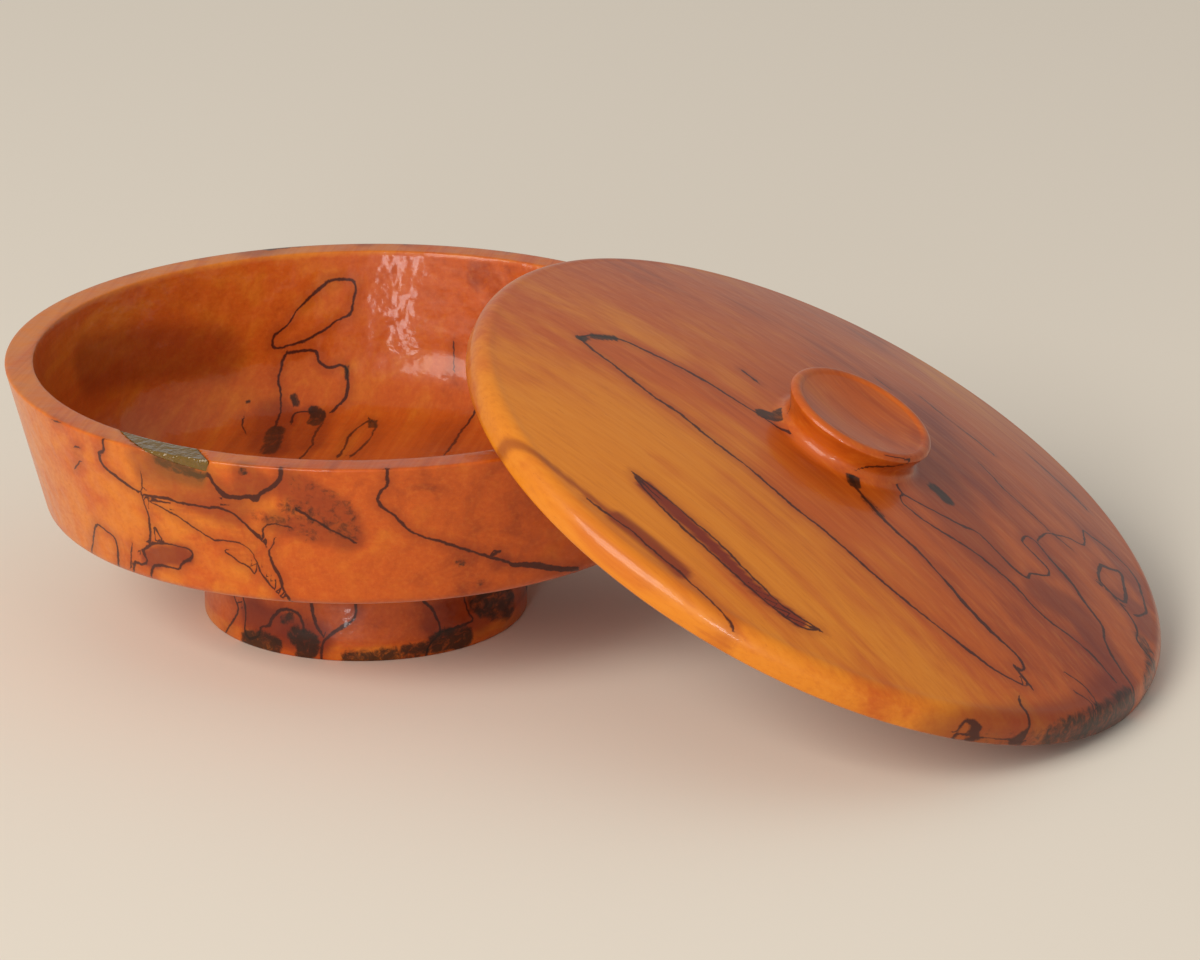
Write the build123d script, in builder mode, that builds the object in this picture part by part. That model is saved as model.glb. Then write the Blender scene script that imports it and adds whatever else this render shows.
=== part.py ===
import math
import os

from build123d import *

os.makedirs("parts", exist_ok=True)

# Bowl, turned in one piece with its foot. Lengths in millimetres, angles in degrees.
rim_diameter = 250.0
rim_width = 10.0
bowl_height = 95.0
wall_lean = 14.1
corner_height = 42.5
corner_round = 4.0
rim_edge_break = 0.6
floor_height = 40.0
floor_round = 26.0
foot_diameter = 115.0
foot_height = 26.0
foot_collar = 7.0
foot_waist_depth = 3.5
foot_cove = 7.0
foot_edge_round = 0.7
collar_round = 6.0

# Lid, turned in one piece with its knob. Heights are above the plane of its lower edge.
lid_fit_gap = 1.3
lid_lip_width = 4.7
lid_lip_drop = 6.0
lid_seat_width = 13.0
lid_wall = 9.0
dome_rise = 27.0
edge_side = 5.0
edge_round_rise = 6.5
edge_round_run = 5.5
lip_round = 1.5
knob_lip_diameter = 53.0
knob_waist_diameter = 43.0
knob_height = 12.5
knob_lip_round = 2.0
knob_dish_depth = 4.0
knob_fillet = 4.5

# The lid leans on the rim: the rim's outer edge reaches this far from the lid's centre.
lean_contact_radius = 53.0
lean_gap = 0.35

# Natural void across the rim, filled with clear resin. Angles run round the bowl's axis from +X.
void_inner_start = -113.5
void_inner_end = -96.5
void_outer_start = -103.5
void_outer_end = -92.0
void_depth = 4.2

rim_radius = rim_diameter / 2
mouth_radius = rim_radius - rim_width
foot_radius = foot_diameter / 2
wall_slope = math.tan(math.radians(wall_lean))
corner_radius = rim_radius - (bowl_height - corner_height) * wall_slope
floor_radius = mouth_radius - (bowl_height - floor_height) * wall_slope
waist_radius = foot_radius - foot_waist_depth
break_height = bowl_height - rim_edge_break
rim_outer_break = (rim_radius - rim_edge_break * wall_slope, break_height)
rim_inner_break = (mouth_radius - rim_edge_break * wall_slope, break_height)

with BuildPart() as bowl:
    with BuildSketch(Plane.XZ) as bowl_profile:
        with BuildLine() as bowl_outline:
            FilletPolyline(
                (0, 0),
                (foot_radius, 0),
                (foot_radius, foot_collar),
                (waist_radius, foot_height),
                (corner_radius, corner_height),
                rim_outer_break,
                radius=[foot_edge_round, collar_round, foot_cove, corner_round],
            )
            Polyline(
                rim_outer_break,
                (rim_radius - rim_edge_break, bowl_height),
                (mouth_radius + rim_edge_break, bowl_height),
                rim_inner_break,
            )
            FilletPolyline(
                rim_inner_break,
                (floor_radius, floor_height),
                (0, floor_height),
                radius=floor_round,
            )
            Line((0, floor_height), (0, 0))
        make_face()
    revolve(axis=Axis.Z)


def on_circle(radius, angle):
    """Point of a circle round the bowl's axis."""
    return (radius * math.cos(math.radians(angle)), radius * math.sin(math.radians(angle)))


# The void's slanting ends run on as far again inside and outside the rim, so the block cuts it clean.
void_inner = mouth_radius - rim_width
void_outer = rim_radius + rim_width
start_turn = void_outer_start - void_inner_start
end_turn = void_outer_end - void_inner_end

with BuildPart() as void_block:
    with BuildSketch(Plane.XY.offset(bowl_height - void_depth)) as void_plan:
        with BuildLine() as void_outline:
            Polyline(
                on_circle(void_inner, void_inner_start - start_turn),
                on_circle(void_outer, void_outer_start + start_turn),
                on_circle(void_outer, void_outer_end + end_turn),
                on_circle(void_inner, void_inner_end - end_turn),
                close=True,
            )
        make_face()
    extrude(amount=void_depth * 2)

with BuildPart() as rim_resin_fill:
    add(bowl.part)
    add(void_block.part, mode=Mode.INTERSECT)

with BuildPart() as holed_bowl:
    add(bowl.part)
    add(void_block.part, mode=Mode.SUBTRACT)

# Lid in its own profile plane: x is the distance from its axis, y the height above its edge.
lid_radius = rim_radius + lid_fit_gap + lid_lip_width
lip_inner_radius = rim_radius + lid_fit_gap
hollow_radius = lip_inner_radius - lid_seat_width
hollow_top = dome_rise - lid_wall
hollow_rise = hollow_top - lid_lip_drop
hollow_ball = (hollow_radius**2 + hollow_rise**2) / (2 * hollow_rise)
dome_edge_radius = lid_radius - edge_round_run
dome_edge_height = edge_side + edge_round_rise
dome_fall = dome_rise - dome_edge_height
dome_ball = (dome_edge_radius**2 + dome_fall**2) / (2 * dome_fall)
knob_lip_radius = knob_lip_diameter / 2
knob_waist_radius = knob_waist_diameter / 2
knob_top = dome_rise + knob_height


def dome_height(radius):
    """Height of the lid's upper face at a distance from its axis."""
    return dome_rise - dome_ball + math.sqrt(dome_ball**2 - radius**2)


def hollow_height(radius):
    """Height of the lid's hollow at a distance from its axis."""
    return hollow_top - hollow_ball + math.sqrt(hollow_ball**2 - radius**2)


# Tilt at which the lower edge rests on the table while the hollow clears the rim by the gap.
contact_height = hollow_height(lean_contact_radius) - lean_gap
lean_arm = math.hypot(lid_radius - lip_round + lean_contact_radius, contact_height - lip_round)
arm_angle = math.atan2(contact_height - lip_round, lid_radius - lip_round + lean_contact_radius)
lean_tilt = math.asin((bowl_height - lip_round) / lean_arm) - arm_angle
lean_x = rim_radius + lean_contact_radius * math.cos(lean_tilt) - contact_height * math.sin(lean_tilt)
lean_z = (lid_radius - lip_round) * math.sin(lean_tilt) - lip_round * math.cos(lean_tilt) + lip_round

lid_plane = Plane(
    origin=(lean_x, 0, lean_z),
    x_dir=(math.cos(lean_tilt), 0, -math.sin(lean_tilt)),
    z_dir=(0, -1, 0),
)
lid_axis = Axis((lean_x, 0, lean_z), (math.sin(lean_tilt), 0, math.cos(lean_tilt)))

knob_side_top = (knob_lip_radius, knob_top - knob_lip_round)
knob_side_foot = (knob_waist_radius, dome_height(knob_waist_radius))
dish_radius = knob_lip_radius - 2 * knob_lip_round
lip_outer_corner = (lid_radius - lip_round, 0)
lip_side_start = (lid_radius, lip_round)
corner_middle = (
    lid_radius - lip_round + lip_round * math.sqrt(0.5),
    lip_round - lip_round * math.sqrt(0.5),
)
edge_middle = (
    dome_edge_radius + edge_round_run * math.cos(math.pi / 4),
    edge_side + edge_round_rise * math.sin(math.pi / 4),
)
knob_lip_middle = (knob_lip_radius - knob_lip_round, knob_top)

with BuildPart() as lid:
    with BuildSketch(lid_plane) as lid_profile:
        with BuildLine() as lid_outline:
            Line((0, hollow_top), (0, knob_top - knob_dish_depth))
            ThreePointArc(
                (0, knob_top - knob_dish_depth),
                (dish_radius / 2, knob_top - knob_dish_depth + knob_dish_depth / 4),
                (dish_radius, knob_top - knob_lip_round / 2),
            )
            ThreePointArc(
                (dish_radius, knob_top - knob_lip_round / 2),
                knob_lip_middle,
                knob_side_top,
            )
            Line(knob_side_top, knob_side_foot)
            ThreePointArc(
                knob_side_foot,
                (lid_radius / 2, dome_height(lid_radius / 2)),
                (dome_edge_radius, dome_edge_height),
            )
            ThreePointArc((dome_edge_radius, dome_edge_height), edge_middle, (lid_radius, edge_side))
            Line((lid_radius, edge_side), lip_side_start)
            ThreePointArc(lip_side_start, corner_middle, lip_outer_corner)
            Line(lip_outer_corner, (lip_inner_radius, 0))
            Line((lip_inner_radius, 0), (lip_inner_radius, lid_lip_drop))
            Line((lip_inner_radius, lid_lip_drop), (hollow_radius, lid_lip_drop))
            ThreePointArc(
                (hollow_radius, lid_lip_drop),
                (hollow_radius / 2, hollow_height(hollow_radius / 2)),
                (0, hollow_top),
            )
        make_face()
        fillet(lid_profile.vertices().sort_by_distance(knob_side_foot)[0], knob_fillet)
    revolve(axis=lid_axis)

holed_bowl.part.label = "bowl"
export_step(holed_bowl.part, "parts/bowl.step")
rim_resin_fill.part.label = "rim_resin_fill"
export_step(rim_resin_fill.part, "parts/rim_resin_fill.step")
lid.part.label = "lid"
export_step(lid.part, "parts/lid.step")
print("lean", round(math.degrees(lean_tilt), 3), round(lean_x, 3), round(lean_z, 3))
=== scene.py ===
import math

import bpy
import mathutils
import numpy as np
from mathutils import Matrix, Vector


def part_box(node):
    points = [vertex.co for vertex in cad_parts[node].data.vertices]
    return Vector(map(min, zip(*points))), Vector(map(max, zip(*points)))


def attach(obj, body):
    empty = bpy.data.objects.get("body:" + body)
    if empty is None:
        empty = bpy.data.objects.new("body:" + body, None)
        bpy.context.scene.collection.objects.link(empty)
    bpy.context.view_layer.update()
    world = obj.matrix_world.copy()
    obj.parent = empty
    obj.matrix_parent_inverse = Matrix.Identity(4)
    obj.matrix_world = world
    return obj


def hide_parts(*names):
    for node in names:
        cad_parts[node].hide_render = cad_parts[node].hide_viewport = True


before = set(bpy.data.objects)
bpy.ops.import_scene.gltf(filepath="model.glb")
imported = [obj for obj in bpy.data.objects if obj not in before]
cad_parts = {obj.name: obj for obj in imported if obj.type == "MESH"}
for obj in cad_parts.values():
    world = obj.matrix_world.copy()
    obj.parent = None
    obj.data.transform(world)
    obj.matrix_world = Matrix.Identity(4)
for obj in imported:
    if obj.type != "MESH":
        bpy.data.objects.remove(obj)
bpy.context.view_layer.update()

MM = 0.001

# Bowl sizes in millimetres; the height comes from the frame.
bowl_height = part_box("bowl")[1][2] / MM
rim_radius = 125.0
rim_width = 10.0
wall_lean = math.radians(14.1)
corner_height = 42.5
corner_round = 4.0
floor_height = 40.0
floor_round = 26.0
foot_radius = 57.5
foot_height = 26.0
foot_collar = 7.0
foot_waist_depth = 3.5
foot_cove = 7.0
edge_ease = 0.7
mouth_radius = rim_radius - rim_width
wall_slope = math.tan(wall_lean)

# Lid sizes, heights counted from the plane of its lower edge. The power edge_hold draws the rounded edge in
# a little, and crest_drop lowers the knob's lip, so that both stay inside the solid's box.
lid_radius = 131.0
lip_inner_radius = 126.3
hollow_radius = 113.3
lip_drop = 6.0
hollow_top = 18.0
dome_rise = 27.0
edge_side = 5.0
edge_run = 5.5
edge_rise = 6.5
edge_hold = 1.08
lip_round = 1.5
knob_lip_radius = 26.5
knob_waist_radius = 21.5
knob_top = 39.5
knob_lip_round = 2.0
knob_dish_depth = 4.0
knob_fillet = 4.5
crest_drop = 0.12

# How the lid leans: the place on its hollow that the rim's outer edge reaches, and the gap there.
lean_contact_radius = 53.0
lean_gap = 0.35

# Void across the rim: angles round the bowl at its inner and outer edge, its depth, the height in which
# it fades out down the wall, and the share of its length in which its deep end closes.
void_inner_start = -113.5
void_inner_end = -96.5
void_outer_start = -103.5
void_outer_end = -92.0
void_depth = 4.2
void_blend = 12.0
void_end_share = 0.07

# Meshes: points round each ring, rows along each half section, and the angle past which an edge is sharp.
TURNS = 560
bowl_rows = 168
lid_rows = 172
sharp_angle = math.radians(40)

# Resin: rows and columns of points, the share of the void left out at each end, and how far in mm the
# resin sinks into the wood, so that the two surfaces don't lie in one plane.
resin_rows = 90
resin_columns = 15
resin_end_share = 0.015
resin_sink = 0.12

# Figure of the wood, in mm: how far round a line the distance to it is kept, the distance stored
# where no line is near, and the half width stored there.
line_reach = 7.0
far_away = 9.0
plain_half = 0.7

# Turn of the grain from the x axis, in degrees.
bowl_grain = 98
lid_grain = -16


def cap_height(radius, top, edge_radius, edge_height):
    """Height of a ball-shaped cap: it is top on the axis and edge_height at edge_radius."""
    fall = top - edge_height
    ball = (edge_radius**2 + fall**2) / (2 * fall)
    return top - ball + np.sqrt(ball**2 - radius**2)


dome_edge = (lid_radius - edge_run, edge_side + edge_rise)
contact_height = cap_height(lean_contact_radius, hollow_top, hollow_radius, lip_drop) - lean_gap
arm = (lid_radius - lip_round + lean_contact_radius, contact_height - lip_round)
lean = math.asin((bowl_height - lip_round) / math.hypot(*arm)) - math.atan2(arm[1], arm[0])
lean_cos = math.cos(lean)
lean_sin = math.sin(lean)
lid_centre = np.array([
    rim_radius + lean_contact_radius * lean_cos - contact_height * lean_sin,
    0.0,
    (lid_radius - lip_round) * lean_sin - lip_round * lean_cos + lip_round,
])
lid_axes = np.array([[lean_cos, 0.0, -lean_sin], [0.0, 1.0, 0.0], [lean_sin, 0.0, lean_cos]])


def wall_radius(height, at_rim):
    """Radius of a slanting wall face at a height: at_rim at the rim, less the slope times the drop."""
    return at_rim - (bowl_height - height) * wall_slope


# Profiles

def arc_through(first, middle, last, count):
    """Points of the circle through three points, from the first past the middle to the last."""
    a, b, c = (np.array(p, float) for p in (first, middle, last))
    centre = np.linalg.solve(2 * np.array([b - a, c - a]), np.array([b @ b - a @ a, c @ c - a @ a]))
    turns = np.unwrap([math.atan2(*(p - centre)[::-1]) for p in (a, b, c)])
    turn = np.linspace(turns[0], turns[2], count)
    return centre + np.linalg.norm(a - centre) * np.stack([np.cos(turn), np.sin(turn)], -1)


def eased(corners, radii):
    """A path through the corners in which each corner with a radius becomes an arc tangent to its sides."""
    path = [np.array([corners[0]], float)]
    for before, here, after, radius in zip(corners, corners[1:], corners[2:], radii):
        here = np.array(here, float)
        back = np.array(before, float) - here
        ahead = np.array(after, float) - here
        back /= np.linalg.norm(back)
        ahead /= np.linalg.norm(ahead)
        half = math.acos(np.clip(back @ ahead, -1, 1)) / 2
        if radius == 0 or half > 1.55:
            path.append(here[None])
            continue
        middle = here + (back + ahead) / np.linalg.norm(back + ahead) * radius / math.sin(half)
        first = here + back * radius / math.tan(half) - middle
        last = here + ahead * radius / math.tan(half) - middle
        share = np.linspace(0, 1, 24)[:, None]
        sweep = math.acos(np.clip(first @ last / radius**2, -1, 1))
        blend = (np.sin((1 - share) * sweep) * first + np.sin(share * sweep) * last) / math.sin(sweep)
        path.append(middle + blend)
    path.append(np.array([corners[-1]], float))
    return np.vstack(path)


def spread(path, spacing, turn_step, count):
    """Sample a path so that the rows are dense where spacing is small and where the path turns.

    Each span is first cut in eight, and no turn between two of these counts for more than three rows.
    """
    fine = np.linspace(0, 1, 9)[:-1]
    steps = path[:-1, None] + (path[1:] - path[:-1])[:, None] * fine[None, :, None]
    dense = np.vstack([steps.reshape(-1, 2), path[-1:]])
    move = np.diff(dense, axis=0)
    length = np.hypot(move[:, 0], move[:, 1])
    keep = np.r_[length > 1e-9, True]
    dense = dense[keep]
    move = np.diff(dense, axis=0)
    length = np.hypot(move[:, 0], move[:, 1])
    heading = np.unwrap(np.arctan2(move[:, 1], move[:, 0]))
    bend = np.abs(np.diff(heading, prepend=heading[0])) / turn_step
    middle = (dense[1:] + dense[:-1]) / 2
    weight = np.cumsum(np.r_[0.0, length / spacing(middle[:, 0], middle[:, 1]) + np.minimum(bend, 3.0)])
    want = np.linspace(0, weight[-1], count)
    return np.stack([np.interp(want, weight, dense[:, 0]), np.interp(want, weight, dense[:, 1])], -1)


def bowl_profile():
    """Half section of the bowl from the middle of its base, up the outside, over the rim and down inside."""
    corner = (wall_radius(corner_height, rim_radius), corner_height)
    floor_edge = (wall_radius(floor_height, mouth_radius), floor_height)
    corners = [
        (0, 0), (foot_radius, 0), (foot_radius, foot_collar), (foot_radius - foot_waist_depth, foot_height),
        corner, (rim_radius, bowl_height), (mouth_radius, bowl_height), floor_edge, (0, floor_height),
    ]
    radii = [edge_ease, 6.0, foot_cove, corner_round, edge_ease, edge_ease, floor_round]
    path = eased(corners, radii)

    def spacing(radius, height):
        hidden = (height < 0.5) | ((height > foot_height) & (height < corner_height - 1) & (radius < 108))
        hidden &= (height < floor_height - 0.5)
        return np.where(hidden, 5.0, 1.25)

    return spread(path, spacing, math.radians(25), bowl_rows)


def lid_profile():
    """Half section of the lid from the middle of its hollow, round the lip and edge, up the dome and knob."""
    inward = np.linspace(0, hollow_radius, 40)
    hollow = np.stack([inward, cap_height(inward, hollow_top, hollow_radius, lip_drop)], -1)
    lip = eased(
        [
            (hollow_radius - 2, lip_drop), (lip_inner_radius, lip_drop), (lip_inner_radius, 0),
            (lid_radius, 0), (lid_radius, edge_side),
        ],
        [edge_ease, edge_ease, lip_round],
    )[1:]
    turn = np.linspace(0, math.pi / 2, 20)[1:]
    rounded = np.stack([
        dome_edge[0] + edge_run * np.cos(turn) ** edge_hold,
        edge_side + edge_rise * np.sin(turn) ** edge_hold,
    ], -1)
    outward = np.linspace(dome_edge[0] - 1.5, knob_waist_radius + knob_fillet, 60)
    dome = np.stack([outward, cap_height(outward, dome_rise, *dome_edge)], -1)
    foot = (knob_waist_radius, float(cap_height(knob_waist_radius, dome_rise, *dome_edge)))
    side_top = (knob_lip_radius, knob_top - knob_lip_round)
    dish_edge = (knob_lip_radius - 2 * knob_lip_round, knob_top - knob_lip_round / 2)
    bottom = knob_top - knob_dish_depth
    knob = eased([tuple(dome[-1]), foot, side_top], [knob_fillet * 0.98])[1:]
    crest = (knob_lip_radius - knob_lip_round, knob_top - crest_drop)
    knob_lip = arc_through(side_top, crest, dish_edge, 16)[1:]
    dish = arc_through(dish_edge, (dish_edge[0] / 2, bottom + knob_dish_depth / 4), (0, bottom), 20)[1:]
    path = np.vstack([hollow, lip, rounded, dome, knob, knob_lip, dish])

    def spacing(radius, height):
        under = height < cap_height(np.minimum(radius, dome_edge[0]), dome_rise, *dome_edge) - 4
        under &= radius < lip_inner_radius
        return np.where(under, 4.5, 1.05)

    return spread(path, spacing, math.radians(20), lid_rows)


# Meshes

def revolve(profile):
    """Closed surface of revolution: point (i, j) is profile row i turned to angle j, with a pole at each end.

    Returns the points, their outward normals (the profile's direction turned by a right angle) and the faces.
    """
    rows = profile[1:-1]
    angle = np.linspace(0, 2 * math.pi, TURNS, endpoint=False)
    ring = np.stack([np.outer(rows[:, 0], np.cos(angle)), np.outer(rows[:, 0], np.sin(angle))], -1)
    height = np.repeat(rows[:, 1][:, None], TURNS, 1)
    grid = np.concatenate([ring, height[..., None]], -1)
    ends = np.array([[0, 0, profile[0, 1]], [0, 0, profile[-1, 1]]])
    points = np.vstack([grid.reshape(-1, 3), ends])
    along = np.gradient(profile, axis=0)[1:-1]
    out = np.stack([along[:, 1], -along[:, 0]], -1)
    out /= np.linalg.norm(out, axis=1)[:, None]
    side = np.stack([np.outer(out[:, 0], np.cos(angle)), np.outer(out[:, 0], np.sin(angle))], -1)
    normal = np.concatenate([side, np.repeat(out[:, 1][:, None], TURNS, 1)[..., None]], -1)
    poles = np.array([[0, 0, -1.0], [0, 0, 1.0]])
    normal = np.vstack([normal.reshape(-1, 3), poles])
    return points, normal, faces_between(len(rows))


def faces_between(rows):
    """Quads between neighbouring rings, and triangles from the first and last ring to their poles."""
    here = np.arange(TURNS)
    ahead = (here + 1) % TURNS
    base = (np.arange(rows - 1) * TURNS)[:, None]
    above = base + TURNS
    quads = np.stack([base + here, base + ahead, above + ahead, above + here], -1).reshape(-1, 4)
    first = np.full(TURNS, rows * TURNS)
    last = (rows - 1) * TURNS
    fans = np.vstack([
        np.stack([ahead, here, first], -1),
        np.stack([last + here, last + ahead, first + 1], -1),
    ])
    return quads, fans


def mesh_object(name, points, quads, fans):
    """Put points in millimetres and the faces into a mesh in metres, smooth but for its sharp edges."""
    mesh = bpy.data.meshes.new(name)
    loops = np.concatenate([quads.ravel(), fans.ravel()]).astype(np.int32)
    sizes = np.r_[np.full(len(quads), 4), np.full(len(fans), 3)]
    mesh.vertices.add(len(points))
    mesh.vertices.foreach_set("co", (points * MM).astype(np.float32).ravel())
    mesh.loops.add(len(loops))
    mesh.loops.foreach_set("vertex_index", loops)
    mesh.polygons.add(len(sizes))
    mesh.polygons.foreach_set("loop_start", (np.cumsum(sizes) - sizes).astype(np.int32))
    mesh.update(calc_edges=True)
    mesh.validate()
    mesh.polygons.foreach_set("use_smooth", np.ones(len(sizes), bool))
    mesh.set_sharp_from_angle(angle=sharp_angle)
    piece = bpy.data.objects.new(name, mesh)
    bpy.context.scene.collection.objects.link(piece)
    return piece


def keep_number(piece, name, values):
    """Store one number per vertex under a name that a material can read."""
    field = piece.data.attributes.new(name, "FLOAT", "POINT")
    field.data.foreach_set("value", np.asarray(values, np.float32))


def keep_vector(piece, name, values):
    """Store one vector per vertex under a name that a material can read."""
    field = piece.data.attributes.new(name, "FLOAT_VECTOR", "POINT")
    field.data.foreach_set("vector", np.asarray(values, np.float32).ravel())


# Charts: each turns listed pairs into points on a face of the turned shape.

def on_ring(radius, turn, height):
    """Points at a radius and height, turned round the axis by an angle in degrees."""
    turn = np.radians(turn)
    return np.stack([radius * np.cos(turn), radius * np.sin(turn), height], -1)


def wall_chart(pairs):
    """(degrees, height) on the outside of the wall."""
    return on_ring(wall_radius(pairs[:, 1], rim_radius), pairs[:, 0], pairs[:, 1])


def foot_chart(pairs):
    """(degrees, height) on the side of the foot."""
    slope = foot_waist_depth / (foot_height - foot_collar)
    radius = foot_radius - np.maximum(pairs[:, 1] - foot_collar, 0) * slope
    return on_ring(radius, pairs[:, 0], pairs[:, 1])


def inside_chart(pairs):
    """(degrees, millimetres from the mouth down the wall and then in along the floor)."""
    sharp_edge = wall_radius(floor_height, mouth_radius)
    tangent = floor_round * math.tan((math.pi / 2 - wall_lean) / 2)
    wall_run = (bowl_height - floor_height) / math.cos(wall_lean) - tangent
    arc_run = floor_round * (math.pi / 2 - wall_lean)
    down = pairs[:, 1]
    bend = np.clip((down - wall_run) / floor_round, 0, math.pi / 2 - wall_lean)
    straight = np.minimum(down, wall_run)
    middle = sharp_edge - tangent
    on_wall = down <= wall_run
    arc_turn = -wall_lean - bend
    radius = np.where(
        on_wall,
        mouth_radius - straight * math.sin(wall_lean),
        middle + floor_round * np.cos(arc_turn) - np.maximum(down - wall_run - arc_run, 0),
    )
    height = np.where(
        on_wall,
        bowl_height - straight * math.cos(wall_lean),
        floor_height + floor_round + floor_round * np.sin(arc_turn),
    )
    return on_ring(radius, pairs[:, 0], height)


def dome_chart(pairs):
    """(millimetres downhill, millimetres across) on the lid's dome."""
    radius = np.minimum(np.hypot(pairs[:, 0], pairs[:, 1]), dome_edge[0])
    return np.stack([pairs[:, 0], pairs[:, 1], cap_height(radius, dome_rise, *dome_edge)], -1)


def hollow_chart(pairs):
    """The same plan as the dome, on the lid's hollow, where the same lines come out below."""
    radius = np.minimum(np.hypot(pairs[:, 0], pairs[:, 1]), hollow_radius)
    return np.stack([pairs[:, 0], pairs[:, 1], cap_height(radius, hollow_top, hollow_radius, lip_drop)], -1)


def knob_chart(pairs):
    """(degrees, height) on the flaring side of the knob."""
    share = np.clip((pairs[:, 1] - dome_rise) / (knob_top - dome_rise), 0, 1)
    radius = knob_waist_radius + (knob_lip_radius - knob_waist_radius) * share
    return on_ring(radius, pairs[:, 0], pairs[:, 1])


def smooth_line(pairs):
    """Catmull-Rom curve through the pairs, eight steps to a span."""
    pairs = np.array(pairs, float)
    ring = np.vstack([2 * pairs[0] - pairs[1], pairs, 2 * pairs[-1] - pairs[-2]])
    share = np.linspace(0, 1, 9)[:-1][None, :, None]
    a, b, c, d = (ring[k:len(ring) - 3 + k, None] for k in range(4))
    curve = 0.5 * (2 * b + (c - a) * share + (2 * a - 5 * b + 4 * c - d) * share**2
                   + (3 * b - a - 3 * c + d) * share**3)
    return np.vstack([curve.reshape(-1, pairs.shape[1]), ring[-2]])


# Figure of the wood, given on each chart: zone lines as (half width in mm, points), and dark and stained
# patches as (half width, strength, points, softness).

LID_LINES = [
    (0.9, [(-95, -22), (-88, -27), (-80, -30.5), (-70, -35.5), (-60, -40), (-50, -42.5), (-40, -46.5),
           (-30, -50), (-20, -52.5), (-10, -56), (0, -59), (10, -61), (20, -63), (30, -65.5), (40, -67.5),
           (50, -68.5), (60, -69), (70, -69), (80, -68.5), (87, -67.5), (94, -65), (99, -61.5)]),
    (0.9, [(-95, -22), (-93, -18), (-89, -14.5), (-83, -11.2), (-75, -11.5), (-62, -12), (-50, -13.5),
           (-40, -15.5), (-30, -17), (-22, -18.5), (-16, -19.5)]),
    (1.2, [(0, -20), (5, -21), (8, -22), (12, -26), (18, -30), (25, -33.5), (32, -36.5), (40, -38), (48, -41),
           (56, -44), (64, -47.5), (72, -50), (80, -51.5), (86, -52), (92, -53.5), (94, -57), (90, -58.5),
           (95, -60), (99, -61.5)]),
    (0.9, [(22, -10), (26.5, -12), (26.5, -15), (30, -18), (38, -19), (46, -18), (54, -16.5), (62, -16),
           (70, -16.5), (78, -18), (84, -20), (92, -20.5), (100, -19), (108, -18.5), (114, -19.5),
           (120, -21)]),
    (0.8, [(26.5, -12), (35, -10), (42, -8), (50, -5), (54, -2.5), (60, -4), (66, -6), (72, -7.5), (77, -6.5),
           (77, -2), (80, 2), (82, 7), (80, 10), (75, 11.5), (70, 13), (68, 14.5), (68, 20), (72, 21.5)]),
    (1.1, [(72, 21.5), (80, 17), (86, 15), (92, 12), (96, 9), (102, 6), (107, 3), (109, -2), (113, -7),
           (118, -11), (124, -14), (129, -17)]),
    (0.9, [(72, 21.5), (72, 28), (73, 34), (76, 39), (80, 44), (85, 48), (84, 54), (82, 60), (86, 61),
           (92, 62.5), (98, 62), (104, 60), (108, 56), (111, 50), (114, 44), (116, 38), (114, 30)]),
    (1.3, [(94, 44), (95, 36), (98, 31), (104, 30), (108, 32), (107, 38), (104, 45), (101, 52), (98, 48),
           (94, 44)]),
    (0.9, [(97, 29), (104, 29), (112, 26), (117, 21), (119, 14), (124, 12), (129, 9)]),
    (0.8, [(75, -119), (79, -117), (84, -113), (87, -108), (87, -100), (88, -96), (94, -92), (99, -88),
           (104, -80), (106, -77), (104, -75), (99, -73), (98, -71)]),
    (0.7, [(-47, -88), (-40, -90), (-30, -93), (-20, -96), (-10, -99), (0, -103), (10, -106.5), (20, -109),
           (33, -108.5)]),
    (0.7, [(-47, -88), (-42, -92.5), (-30, -98.5), (-20, -102.5), (-10, -105.5), (0, -108.5), (10, -111),
           (20, -112.5), (28, -112.5), (33, -108.5)]),
    (0.6, [(-53, -111.5), (-45, -113.5), (-35, -115.5), (-25, -119), (-15, -121.5), (0, -126), (10, -129)]),
    (0.8, [(50, 93.5), (60, 90), (70, 86.5), (78, 83)]),
    (0.6, [(8, 75.5), (18, 71.5), (25, 70), (33, 68.5), (41, 66.5)]),
    (0.5, [(40, 49), (46, 46), (52, 42.5), (62, 40), (75, 37), (83, 37)]),
    (0.8, [(-44, 8), (-37, 5)]),
    (0.4, [(-8, 66), (-2, 64)]),
    (0.5, [(106, -40), (112, -38.5), (118, -39.5), (121, -43), (125, -44)]),
    (0.5, [(112, -45), (118, -43.5), (122, -48), (120, -52)]),
]
LID_DARK = [
    (1.4, 1.0, [(33.5, 6.2), (39.5, 4.2)], 3.2),
    (1.6, 1.0, [(-94, -22), (-93.5, -21)], 1.0),
    (1.7, 1.0, [(-91, -17), (-86, -12.5)], 1.0),
    (2.4, 1.0, [(-28, -15.5), (-24, -13), (-23, -9)], 1.4),
    (2.0, 1.0, [(7, -19), (8, -21), (12, -25.5)], 1.2),
    (1.6, 0.7, [(18, -30), (25, -33.5)], 1.2),
    (4.5, 0.8, [(129, -22), (127, -36), (123, -52), (117, -68)], 4.0),
    (4.0, 0.8, [(117, -70), (110, -82), (102, -92), (96, -98)], 4.0),
    (3.0, 0.6, [(94, -104), (90, -112), (84, -119)], 3.0),
    (2.0, 0.7, [(119, 18), (127, 10), (131, -4)], 3.0),
]
LID_STAIN = [
    (0.4, 0.6, [(-96, -94), (-80, -100), (-60, -107.5), (-40, -114)], 1.4),
    (2.0, 0.95, [(-42, -91), (-28, -96), (-10, -102.5), (8, -109), (26, -111)], 1.2),
    (2.0, 0.8, [(-42, -113), (-30, -116), (-14, -121)], 2.5),
    (5.0, 0.6, [(84, -8), (98, -3), (108, -8), (120, -14)], 6.0),
    (8.0, 0.5, [(20, 16), (32, 12), (44, 0), (60, -10)], 9.0),
    (9.0, 0.6, [(127, -28), (124, -50), (115, -72), (101, -94), (88, -112)], 7.0),
    (3.0, 0.5, [(106, 30), (116, 36), (120, 26)], 4.0),
]
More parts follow.
